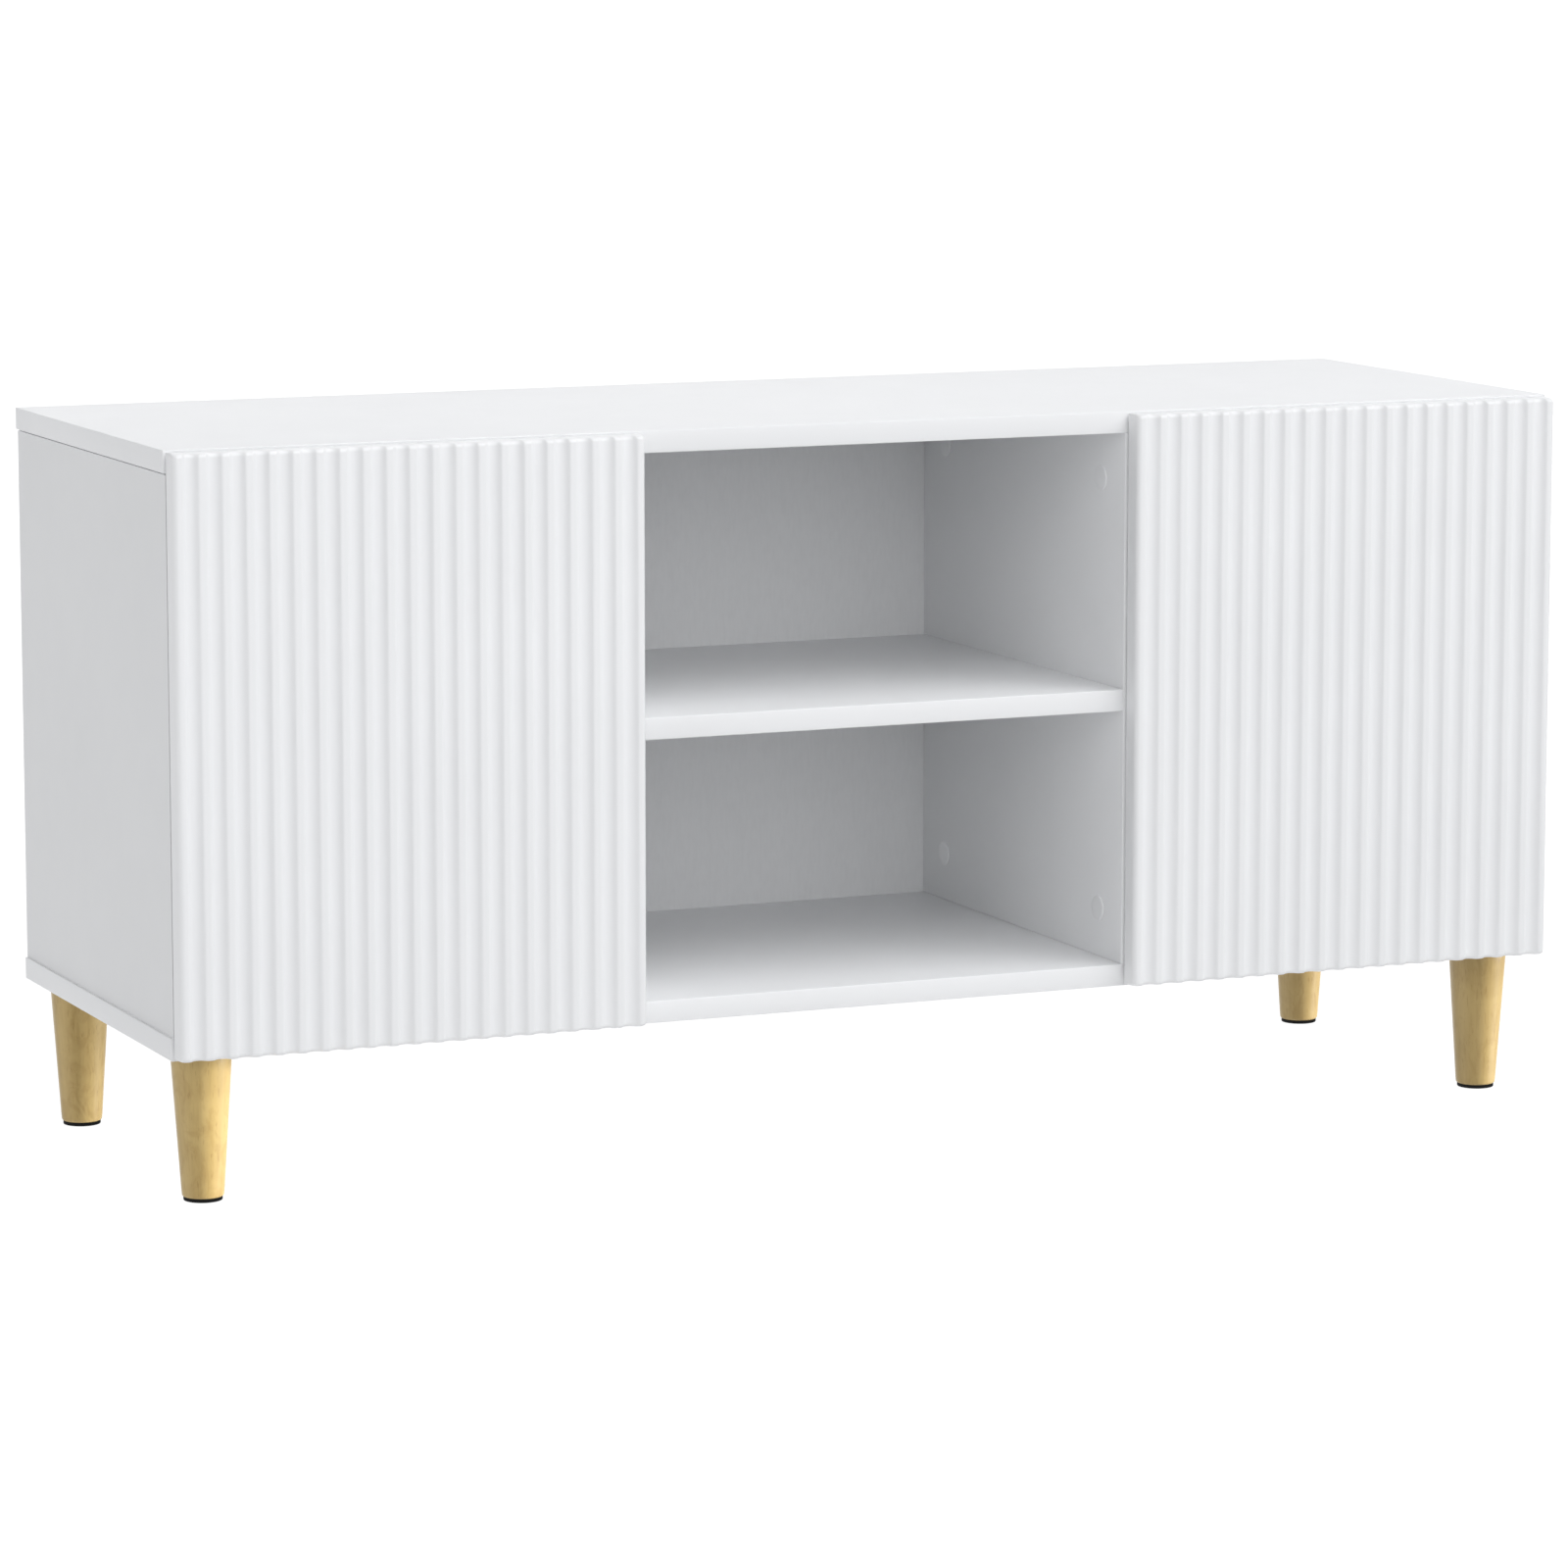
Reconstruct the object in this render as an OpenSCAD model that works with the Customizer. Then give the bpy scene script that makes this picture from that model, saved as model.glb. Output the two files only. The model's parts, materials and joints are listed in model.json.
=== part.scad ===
// Low media cabinet: an open bay with a fixed shelf in the middle, a fluted door on each side,
// push-to-open latches, concealed hinges and four tapered wooden legs.
// Millimetres. The origin is on the floor, in the middle of the cabinet's box.
// +X points to the cabinet's right as seen from the front, the doors face -Y, +Z is up.

/* [Carcass] */
// Width over the top and bottom panels
cabinet_w = 1020; // [960:10:1200]
// Depth of the boards, without the doors and the back panels
carcass_d = 330; // [300:10:400]
// Height from the underside of the bottom panel to the top surface
carcass_h = 400; // [380:10:480]
// Thickness of the boards
board_t = 15; // [15:0.5:18]
// Distance of the side panels in from the ends of the top panel
side_inset = 1.5; // [1:0.5:3]
// Clear width of the open middle bay
centre_w = 360; // [300:10:400]
// Thickness of the back panels
back_t = 3; // [3:0.5:5]

/* [Doors] */
// Thickness of a door
door_t = 15; // [15:0.5:18]
// Gap between a closed door and the carcass
door_gap = 2; // [2:0.5:4]
// Distance of a door's edges in from the edges of its bay
door_reveal = 1.5; // [1:0.5:3]
// Distance from one flute to the next
flute_pitch = 16; // [14:1:24]
// Width of a flute at the door's front plane
flute_w = 11; // [8:0.5:12]
// Depth of a flute
flute_depth = 2.5; // [1:0.5:2.5]

/* [Legs] */
// Height of a leg with its pad
leg_h = 100; // [80:5:160]
// Diameter of a leg at the top
leg_top_d = 41; // [36:1:50]
// Diameter of a leg at the foot
leg_foot_d = 28; // [24:1:36]
// Distance of a leg's axis in from the ends and from the front and back of the carcass
leg_edge = 30; // [26:1:60]
// Diameter of the foot pad
pad_d = 26; // [20:1:28]
// Thickness of the foot pad
pad_t = 2.5; // [2:0.5:4]

/* [Fittings] */
// Distance of a hinge's centre from the end of its door
hinge_end = 90; // [85:5:110]
// Distance of a cam's centre from the end of its board
cam_end = 34; // [30:1:40]
// Distance of the first row of fittings from the front and back edges of the boards
row_edge = 37; // [35:1:45]
// Height of the push latches above the bottom panel
latch_z = 285; // [260:5:300]

/* [Hidden] */
$fn = 48;
eps = 0.01;
sides = [-1, 1];
play = 0.1;
system_step = 32;

// Carcass planes, in the cabinet's frame
carcass_front = -carcass_d / 2 - back_t / 2 + (door_gap + door_t) / 2;
carcass_back = carcass_front + carcass_d;
bottom_z = leg_h;
top_z = leg_h + carcass_h;
inner_z0 = bottom_z + board_t;
inner_z1 = top_z - board_t;
inner_h = inner_z1 - inner_z0;
side_x = cabinet_w / 2 - side_inset - board_t;
divider_x = centre_w / 2;
bay_x0 = divider_x + board_t;
bay_w = side_x - bay_x0;
shelf_z = (inner_z0 + inner_z1 - board_t) / 2;

// Doors
door_w = cabinet_w / 2 - divider_x - 2 * door_reveal;
door_h = carcass_h - 2 * door_reveal;
door_x0 = divider_x + door_reveal;
door_z0 = bottom_z + door_reveal;
flute_r = (flute_w * flute_w / 4 + flute_depth * flute_depth) / (2 * flute_depth);
flutes_each_side = floor((door_w / 2 - flute_w / 2) / flute_pitch + 0.5);
hinge_zs = [door_z0 + hinge_end, door_z0 + door_h - hinge_end];

// Cams, bolts and dowels
cam_d = 15;
cam_depth = 12.5;
cam_bolt_d = 6;
cam_thread_d = 5;
cam_thread_l = 11;
cap_d = 17.5;
cap_t = 0.8;
dowel_d = 8;
dowel_in_face = 10;
dowel_in_edge = 20;
dowel_l = dowel_in_edge + dowel_in_face;
cam_ys = [row_edge, carcass_d - row_edge];
dowel_ys = [row_edge + system_step, carcass_d - row_edge - system_step];
cam_bolt_play = 0.4;
cam_neck = 3;
cam_slot = [2.5, 8, 1.5];

// Bay shelves and their pins
bay_shelf_gap = 1;
bay_shelf_setback = 20;
bay_shelf_back_gap = 10;
bay_shelf_d = carcass_d - bay_shelf_setback - bay_shelf_back_gap;
pin_d = 5;
pin_in = 8;
pin_out = 9;
pin_from_cam = 23;
pin_ys = [row_edge + pin_from_cam, carcass_d - row_edge - pin_from_cam];
pin_z = shelf_z - pin_d / 2;
pin_rows = [pin_z - system_step, pin_z, pin_z + system_step];

// Legs and their bolts
leg_x = cabinet_w / 2 - leg_edge;
leg_ys = [carcass_front + leg_edge, carcass_back - leg_edge];
insert_d = 11;
insert_l = 13;
leg_bolt_d = 7.8;
leg_bolt_in_leg = 25;
leg_bolt_end_gap = 1;
pad_nail_d = 2.6;
pad_nail_l = 14;

// Back panels and nails
back_gap = 0.5;
back_margin = 3;
nail_d = 1.6;
nail_l = 12;
nail_head_d = 3.4;
nail_head_t = 0.6;

// Concealed hinge, measured in plan from the carcass end (x) and the carcass front (y)
cup_d = 35;
cup_wall = 1;
cup_depth = 10.5;
cup_x = side_inset + 22;
cup_flange = [9, 0.8, 62];
cup_flange_x = 14;
cup_screw_x = 9.5;
cup_screw_dz = 24;
cup_screw_d = 2.9;
cup_screw_l = 7.8;
cup_screw_head_d = 5.5;
cup_screw_head_t = 0.6;
small_screw_hole_d = 3;
small_screw_flange_d = 3.2;
small_screw_hole_l = 8;
arm_pivot_outer = [32, -9.43];
arm_pivot_inner = [36.55, -8.86];
cup_pivot_outer = [13.25, -3.2];
cup_pivot_inner = [12, -5];
link_t = 1.6;
arm_eye_r = 1.7;
cup_eye_r = 1.4;
hinge_pin_d = 1.6;
inner_link_h = 4.8;
rivet_head = 0.6;
cheek_z = [2.9, 4.1];
outer_link_z = [4.5, 5.5];
plate_x0 = side_inset + board_t;
arm_x0 = plate_x0 + 4.5;
arm_x1 = arm_x0 + 7;
arm_wall = 1.2;
arm_nose = 4;
cheek_heel = 4.5;
arm_l = 62;
arm_half_w = 8;
plate_y = [20, 54];
plate_half_h = 24;
plate_wing_t = 2;
plate_wing_in = 8;
plate_screw_z = 16;
plate_screw_d = 4;
plate_screw_l = 11.5;
plate_hole_l = 12;
plate_head_d = 7;
plate_head_t = 1.6;
adjust_ys = [26, 46];
adjust_d = 5;
adjust_head = 0.6;
adjust_slot = [2, 1, 4];

// Push latch, measured from the divider's bay face and the carcass front
latch_w = 13;
latch_h = 15;
latch_l = 66;
latch_setback = 3;
latch_flange = [2, 20, 34];
plunger_d = 8;
plunger_l = 60;
plunger_gap = 0.3;
strike_t = 1;
strike_d = 14;
strike_nail_d = 2.3;
latch_screw_dz = 12;
latch_screw_l = 10;
latch_head_t = 1.2;
latch_mid = bottom_z + latch_z;

// Right half as drawn, left half mirrored
module on_side(side) {
    mirror([side < 0 ? 1 : 0, 0, 0]) children();
}

// Plan coordinates measured from the carcass end and front, on the cabinet's right side
module from_end(side, z = 0) {
    on_side(side) translate([cabinet_w / 2, carcass_front, z]) mirror([1, 0, 0]) children();
}

// A board given by its lowest corner and its size
module board(corner, size) {
    translate(corner) cube(size);
}

// A rod from a point along the x axis
module rod_x(d, l) {
    rotate([0, 90, 0]) cylinder(d = d, h = l);
}

// A rod from a point along the y axis
module rod_y(d, l) {
    rotate([-90, 0, 0]) cylinder(d = d, h = l);
}

// A bar in plan between two points, with an eye at each end
module bar_2d(a, b, w, r_a, r_b) {
    reach = b - a;
    translate(a) rotate(atan2(reach[1], reach[0])) translate([0, -w / 2]) square([norm(reach), w]);
    translate(a) circle(r = r_a);
    translate(b) circle(r = r_b);
}

// Cams and bolts at both ends of an upright board whose cam face looks to -X
module at_upright_ends(y_list) {
    for (y = y_list) {
        translate([0, carcass_front + y, inner_z1]) children();
        translate([0, carcass_front + y, inner_z0]) mirror([0, 0, 1]) children();
    }
}

module cam_cut() {
    translate([-eps, 0, -cam_end]) rod_x(cam_d + play, cam_depth + eps);
    translate([board_t / 2, 0, -cam_end]) cylinder(d = cam_bolt_d + cam_bolt_play, h = cam_end + eps);
}

module dowel_edge_cut() {
    translate([board_t / 2, 0, -dowel_in_edge - play])
        cylinder(d = dowel_d + play, h = dowel_in_edge + play + eps);
}

// Holes in a face where the bolts and dowels of an upright board enter it
module upright_face_cuts() {
    for (y = cam_ys) {
        translate([board_t / 2, carcass_front + y, -eps])
            cylinder(d = cam_thread_d + play, h = cam_thread_l + play + eps);
    }
    for (y = dowel_ys) {
        translate([board_t / 2, carcass_front + y, -eps])
            cylinder(d = dowel_d + play, h = dowel_in_face + play + eps);
    }
}

module all_upright_face_cuts() {
    for (side = sides) {
        for (x = [side_x, divider_x]) {
            on_side(side) translate([x, 0, 0]) upright_face_cuts();
        }
    }
}

// Nails of the back panels: three along the top and bottom of each panel
back_edges = [-cabinet_w / 2 + back_margin, -divider_x - board_t / 2,
              divider_x + board_t / 2, cabinet_w / 2 - back_margin];
function back_nail_xs(i) = [for (f = [0.1, 0.5, 0.9])
    back_edges[i] + f * (back_edges[i + 1] - back_edges[i])];
nail_zs = [bottom_z + board_t / 2, top_z - board_t / 2];

module at_nails() {
    for (i = [0 : 2]) {
        for (x = back_nail_xs(i)) {
            for (z = nail_zs) {
                translate([x, carcass_back + back_t, z]) children();
            }
        }
    }
}

module nail_cut() {
    translate([0, -back_t - nail_l, 0]) rod_y(nail_d + play, nail_l + back_t + eps);
    translate([0, -nail_head_t, 0]) rod_y(nail_head_d + play, nail_head_t + eps);
}

module top_panel() {
    color("white") difference() {
        board([-cabinet_w / 2, carcass_front, inner_z1], [cabinet_w, carcass_d, board_t]);
        translate([0, 0, inner_z1]) all_upright_face_cuts();
        at_nails() nail_cut();
    }
}

module bottom_panel() {
    color("white") difference() {
        board([-cabinet_w / 2, carcass_front, bottom_z], [cabinet_w, carcass_d, board_t]);
        translate([0, 0, inner_z0]) mirror([0, 0, 1]) all_upright_face_cuts();
        at_nails() nail_cut();
        at_legs() translate([0, 0, bottom_z - eps]) cylinder(d = insert_d + play, h = insert_l + eps);
    }
}

// Rows of holes for the pins that carry a bay shelf, bored from a face towards +X
module pin_holes() {
    for (y = pin_ys) {
        for (z = pin_rows) {
            translate([-eps, carcass_front + y, z]) rod_x(pin_d + play, pin_in + eps);
        }
    }
}

module side_panel(side) {
    color("white") on_side(side) difference() {
        board([side_x, carcass_front, inner_z0], [board_t, carcass_d, inner_h]);
        translate([side_x, 0, 0]) {
            at_upright_ends(cam_ys) cam_cut();
            at_upright_ends(dowel_ys) dowel_edge_cut();
            pin_holes();
        }
        for (z = hinge_zs) {
            translate([side_x - eps, 0, z]) plate_screw_places() rod_x(plate_screw_d, plate_hole_l);
        }
    }
}

module plate_screw_places() {
    for (dz = [-plate_screw_z, plate_screw_z]) {
        translate([0, carcass_front + row_edge, dz]) children();
    }
}

module divider(side) {
    color("white") on_side(side) difference() {
        board([divider_x, carcass_front, inner_z0], [board_t, carcass_d, inner_h]);
        translate([divider_x, 0, 0]) {
            at_upright_ends(cam_ys) cam_cut();
            at_upright_ends(dowel_ys) dowel_edge_cut();
            translate([board_t, 0, 0]) mirror([1, 0, 0]) pin_holes();
        }
        for (y = cam_ys) {
            translate([divider_x - eps, carcass_front + y, shelf_z + board_t / 2])
                rod_x(cam_thread_d + play, cam_thread_l + play + eps);
        }
        for (y = dowel_ys) {
            translate([divider_x - eps, carcass_front + y, shelf_z + board_t / 2])
                rod_x(dowel_d + play, dowel_in_face + play + eps);
        }
        latch_screw_places() translate([-latch_screw_l, 0, 0]) rod_x(small_screw_hole_d, latch_screw_l + eps);
    }
}

module latch_screw_places() {
    for (dir = sides) {
        translate([bay_x0, carcass_front + latch_setback + latch_l / 2, latch_mid + dir * latch_screw_dz])
            children();
    }
}

// The centre shelf's cams sit on its underside; its bolts and dowels run along X
module at_shelf_ends(y_list) {
    for (side = sides) {
        for (y = y_list) {
            on_side(side) translate([divider_x, carcass_front + y, shelf_z]) children();
        }
    }
}

module centre_shelf() {
    color("white") difference() {
        board([-divider_x, carcass_front, shelf_z], [centre_w, carcass_d, board_t]);
        at_shelf_ends(cam_ys) {
            translate([-cam_end, 0, -eps]) cylinder(d = cam_d + play, h = cam_depth + eps);
            translate([-cam_end, 0, board_t / 2]) rod_x(cam_bolt_d + cam_bolt_play, cam_end + eps);
        }
        at_shelf_ends(dowel_ys) translate([-dowel_in_edge - play, 0, board_t / 2])
            rod_x(dowel_d + play, dowel_in_edge + play + eps);
    }
}

module bay_shelf(side) {
    color("white") on_side(side) board(
        [bay_x0 + bay_shelf_gap, carcass_front + bay_shelf_setback, shelf_z],
        [bay_w - 2 * bay_shelf_gap, bay_shelf_d, board_t]);
}

module back_panel(i) {
    color("white") difference() {
        board([back_edges[i] + back_gap / 2, carcass_back, bottom_z + back_margin],
              [back_edges[i + 1] - back_edges[i] - back_gap, back_t, carcass_h - 2 * back_margin]);
        at_nails() nail_cut();
    }
}

module back_panel_nails() {
    color("silver") at_nails() {
        translate([0, -back_t - nail_l + play, 0]) rod_y(nail_d, nail_l + back_t - play);
        translate([0, -nail_head_t, 0]) rod_y(nail_head_d, nail_head_t);
    }
}

module at_legs() {
    for (side = sides) {
        for (y = leg_ys) {
            translate([side * leg_x, y, 0]) children();
        }
    }
}

module leg(side, y) {
    color("burlywood") translate([side * leg_x, y, 0]) difference() {
        translate([0, 0, pad_t]) cylinder(d1 = leg_foot_d, d2 = leg_top_d, h = leg_h - pad_t);
        translate([0, 0, leg_h - leg_bolt_in_leg - play])
            cylinder(d = leg_bolt_d + play, h = leg_bolt_in_leg + leg_bolt_end_gap);
        translate([0, 0, pad_t - eps]) cylinder(d = pad_nail_d + play, h = pad_nail_l + play);
    }
}

module foot_pad(side, y) {
    color("black") translate([side * leg_x, y, 0]) {
        cylinder(d = pad_d, h = pad_t);
        cylinder(d = pad_nail_d, h = pad_t + pad_nail_l - play);
    }
}

// Threaded insert with a drive slot in its lower end
module leg_inserts() {
    color("silver") at_legs() translate([0, 0, bottom_z]) difference() {
        cylinder(d = insert_d, h = insert_l - play);
        translate([0, 0, -eps]) cylinder(d = leg_bolt_d + play, h = insert_l + leg_bolt_end_gap);
    }
}

module leg_bolts() {
    color("silver") at_legs() translate([0, 0, bottom_z - leg_bolt_in_leg])
        cylinder(d = leg_bolt_d, h = leg_bolt_in_leg + insert_l - leg_bolt_end_gap);
}

// One cam, its axis along X from the board's face, its bolt coming from +Z
module cam_lock() {
    difference() {
        translate([play, 0, 0]) rod_x(cam_d - play, cam_depth - 2 * play);
        translate([board_t / 2, 0, 0]) cylinder(d = cam_bolt_d + cam_bolt_play - play, h = cam_d);
        translate([-eps, -cam_slot[1] / 2, -cam_slot[2] / 2]) cube(cam_slot);
    }
}

module cam_bolt() {
    translate([0, 0, cam_neck]) cylinder(d = cam_bolt_d, h = cam_end - cam_neck);
    translate([0, 0, cam_end - eps]) cylinder(d = cam_thread_d, h = cam_thread_l);
}

module cam_cap() {
    translate([-cap_t, 0, 0]) rod_x(cap_d, cap_t);
}

module at_upright_cams() {
    for (side = sides) {
        for (x = [side_x, divider_x]) {
            on_side(side) translate([x, 0, 0]) at_upright_ends(cam_ys) translate([0, 0, -cam_end]) children();
        }
    }
}

// The same fitting turned to lie in the centre shelf: its face looks down, its bolt runs to +X
module at_shelf_cams() {
    at_shelf_ends(cam_ys) translate([-cam_end, 0, 0])
        rotate([0, 90, 0]) mirror([1, 0, 0]) children();
}

module cam_locks() {
    color("silver") {
        at_upright_cams() cam_lock();
        at_shelf_cams() cam_lock();
    }
}

module cam_bolts() {
    color("silver") {
        at_upright_cams() translate([board_t / 2, 0, 0]) cam_bolt();
        at_shelf_cams() translate([board_t / 2, 0, 0]) cam_bolt();
    }
}

module cam_caps() {
    color("white") {
        at_upright_cams() cam_cap();
        at_shelf_cams() cam_cap();
    }
}

module panel_dowels() {
    color("burlywood") {
        for (side = sides) {
            for (x = [side_x, divider_x]) {
                on_side(side) translate([x + board_t / 2, 0, 0]) at_upright_ends(dowel_ys)
                    translate([0, 0, -dowel_in_edge]) cylinder(d = dowel_d, h = dowel_l);
            }
        }
        at_shelf_ends(dowel_ys) translate([-dowel_in_edge, 0, board_t / 2])
            rod_x(dowel_d, dowel_l);
    }
}

// Four pins a bay, each half in the board and half under the shelf
module shelf_pins() {
    color("silver") for (side = sides) {
        for (y = pin_ys) {
            on_side(side) translate([side_x - pin_out, carcass_front + y, pin_z])
                rod_x(pin_d, pin_out + pin_in - play);
            on_side(side) translate([bay_x0 - pin_in + play, carcass_front + y, pin_z])
                rod_x(pin_d, pin_out + pin_in - play);
        }
    }
}

module door(side) {
    color("white") on_side(side) difference() {
        board([door_x0, carcass_front - door_gap - door_t, door_z0], [door_w, door_t, door_h]);
        flute_cuts();
        for (z = hinge_zs) {
            translate([cabinet_w / 2 - cup_x, carcass_front - door_gap - cup_depth, z])
                rod_y(cup_d + play, cup_depth + eps);
            cup_screw_places(z) translate([0, -small_screw_hole_l, 0])
                rod_y(small_screw_hole_d, small_screw_hole_l + eps);
        }
        strike_place() translate([0, -small_screw_hole_l, 0])
            rod_y(strike_nail_d + play, small_screw_hole_l + eps);
    }
}

module flute_cuts() {
    for (i = [1 : flutes_each_side]) {
        for (dir = sides) {
            translate([door_x0 + door_w / 2 + dir * (i - 0.5) * flute_pitch,
                       carcass_front - door_gap - door_t - flute_r + flute_depth, door_z0 - 1])
                cylinder(r = flute_r, h = door_h + 2);
        }
    }
}

// Screws of the cup's flange, in the door's back face
module cup_screw_places(z) {
    for (dz = [-cup_screw_dz, cup_screw_dz]) {
        translate([cabinet_w / 2 - cup_x - cup_screw_x, carcass_front - door_gap, z + dz]) children();
    }
}

module hinge_cups(side) {
    color("silver") on_side(side) for (z = hinge_zs) {
        difference() {
            union() {
                translate([cabinet_w / 2 - cup_x, carcass_front - door_gap - cup_depth + play, z])
                    rod_y(cup_d, cup_depth);
                translate([cabinet_w / 2 - cup_x - cup_flange_x, carcass_front - door_gap, z])
                    translate([0, 0, -cup_flange[2] / 2]) cube(cup_flange);
            }
            translate([cabinet_w / 2 - cup_x, carcass_front - door_gap - cup_depth + cup_wall, z])
                rod_y(cup_d - 2 * cup_wall, cup_depth + cup_wall);
            cup_screw_places(z) translate([0, -eps, 0]) rod_y(small_screw_flange_d, cup_wall);
        }
    }
}

module cup_screws(side) {
    color("silver") on_side(side) for (z = hinge_zs) {
        cup_screw_places(z) {
            translate([0, -cup_screw_l, 0]) rod_y(cup_screw_d, cup_screw_l + cup_flange[1]);
            translate([0, cup_flange[1], 0]) rod_y(cup_screw_head_d, cup_screw_head_t);
        }
    }
}

// Place of the latch's strike on the door's back face
module strike_place() {
    translate([bay_x0 + latch_w / 2, carcass_front - door_gap, latch_mid]) children();
}

module strike_plate(side) {
    color("silver") on_side(side) strike_place() {
        rod_y(strike_d, strike_t);
        translate([0, play * 2 - small_screw_hole_l, 0]) rod_y(strike_nail_d, small_screw_hole_l);
    }
}

module hinge_plates() {
    color("silver") for (side = sides) {
        for (z = hinge_zs) {
            from_end(side, z) difference() {
                union() {
                    translate([plate_x0, plate_y[0] + plate_wing_in, -plate_half_h])
                        cube([plate_wing_t, plate_y[1] - plate_y[0] - 2 * plate_wing_in, 2 * plate_half_h]);
                    translate([plate_x0, plate_y[0], -arm_half_w])
                        cube([arm_x0 - plate_x0, plate_y[1] - plate_y[0], 2 * arm_half_w]);
                }
                for (dz = [-plate_screw_z, plate_screw_z]) {
                    translate([plate_x0 - eps, row_edge, dz])
                        rod_x(plate_screw_d + 4 * play, plate_wing_t + plate_head_t);
                }
            }
        }
    }
}

module plate_screws() {
    color("silver") for (side = sides) {
        for (z = hinge_zs) {
            for (dz = [-plate_screw_z, plate_screw_z]) {
                from_end(side, z + dz) translate([plate_x0, row_edge, 0]) {
                    translate([-plate_screw_l, 0, 0])
                        rod_x(plate_screw_d - play, plate_screw_l + plate_wing_t);
                    translate([plate_wing_t, 0, 0]) rod_x(plate_head_d, plate_head_t);
                }
            }
        }
    }
}

// The arm: a channel over the plate and two cheeks that reach into the cup
module hinge_arms() {
    color("silver") for (side = sides) {
        for (z = hinge_zs) {
            from_end(side, z) hinge_arm();
        }
    }
}

module hinge_arm() {
    difference() {
        translate([arm_x0, 0, -arm_half_w]) cube([arm_x1 - arm_x0, arm_l, 2 * arm_half_w]);
        translate([arm_x0 - eps, arm_nose, -arm_half_w + arm_wall])
            cube([arm_x1 - arm_x0 - arm_wall, arm_l, 2 * (arm_half_w - arm_wall)]);
        for (y = adjust_ys) {
            translate([arm_x1 - 2 * arm_wall, y, 0]) rod_x(adjust_d + 2 * play, 3 * arm_wall);
        }
    }
    for (dir = sides) {
        mirror([0, 0, dir < 0 ? 1 : 0]) difference() {
            translate([0, 0, cheek_z[0]]) linear_extrude(cheek_z[1] - cheek_z[0]) cheek_2d();
            for (p = [arm_pivot_outer, arm_pivot_inner]) {
                translate([p[0], p[1], 0]) cylinder(d = hinge_pin_d + play, h = arm_half_w);
            }
        }
    }
}

module cheek_2d() {
    polygon([[arm_x1 - 3, cheek_heel], [arm_x1 - 3, 0],
             arm_pivot_outer + [-1.6, 0.6], arm_pivot_outer + [0.4, -1.7],
             arm_pivot_inner + [0.6, -1.9], arm_pivot_inner + [2, 0],
             arm_pivot_inner + [1.2, 3.2], [arm_x1 + 2, cheek_heel]]);
}

module adjust_screws() {
    color("silver") for (side = sides) {
        for (z = hinge_zs) {
            for (y = adjust_ys) {
                from_end(side, z) translate([arm_x0, y, 0]) difference() {
                    rod_x(adjust_d, arm_x1 - arm_x0 + adjust_head);
                    translate([arm_x1 - arm_x0, 0, 0]) cube(adjust_slot, center = true);
                }
            }
        }
    }
}

// Fixed pins of the links: a stub on each cheek and a pin through both
module hinge_pins() {
    color("gray") for (side = sides) {
        for (z = hinge_zs) {
            from_end(side, z) {
                translate([arm_pivot_inner[0], arm_pivot_inner[1], -cheek_z[1]])
                    cylinder(d = hinge_pin_d, h = 2 * cheek_z[1]);
                for (dir = sides) {
                    mirror([0, 0, dir < 0 ? 1 : 0])
                        translate([arm_pivot_outer[0], arm_pivot_outer[1], cheek_z[0]])
                            cylinder(d = hinge_pin_d, h = outer_link_z[1] + rivet_head - cheek_z[0]);
                }
            }
        }
    }
}

module link_plate(a, b, h) {
    difference() {
        linear_extrude(h) bar_2d(a, b, link_t, arm_eye_r, cup_eye_r);
        translate([a[0], a[1], -1]) cylinder(d = hinge_pin_d + play, h = h + 2);
    }
}

module outer_links(side) {
    color("silver") for (z = hinge_zs) {
        for (dir = sides) {
            from_end(side, z) mirror([0, 0, dir < 0 ? 1 : 0]) {
                translate([0, 0, outer_link_z[0]])
                    link_plate(arm_pivot_outer, cup_pivot_outer, outer_link_z[1] - outer_link_z[0]);
                translate([cup_pivot_outer[0], cup_pivot_outer[1], outer_link_z[1]])
                    cylinder(d = hinge_pin_d, h = rivet_head);
            }
        }
    }
}

module inner_links(side) {
    color("silver") for (z = hinge_zs) {
        from_end(side, z) translate([0, 0, -inner_link_h / 2])
            link_plate(arm_pivot_inner, cup_pivot_inner, inner_link_h);
    }
}

module latch_bodies() {
    color("whitesmoke") for (side = sides) {
        on_side(side) difference() {
            translate([bay_x0, carcass_front + latch_setback, latch_mid]) {
                translate([0, 0, -latch_h / 2]) cube([latch_w, latch_l, latch_h]);
                translate([0, (latch_l - latch_flange[1]) / 2, -latch_flange[2] / 2]) cube(latch_flange);
            }
            translate([bay_x0 + latch_w / 2, carcass_front + latch_setback - 1, latch_mid])
                rod_y(plunger_d + play, plunger_l + 2);
            latch_screw_places() translate([-eps, 0, 0])
                rod_x(small_screw_flange_d, latch_flange[0] + 2 * eps);
        }
    }
}

// The screws pass through the flange, above and below the latch's body
module latch_screws() {
    color("silver") for (side = sides) {
        on_side(side) latch_screw_places() {
            translate([play - latch_screw_l, 0, 0])
                rod_x(cup_screw_d, latch_screw_l - play + latch_flange[0]);
            translate([latch_flange[0], 0, 0]) rod_x(cup_screw_head_d, latch_head_t);
        }
    }
}

module latch_plunger(side) {
    color("gray") on_side(side) strike_place()
        translate([0, strike_t + plunger_gap, 0]) rod_y(plunger_d, plunger_l);
}

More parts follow.
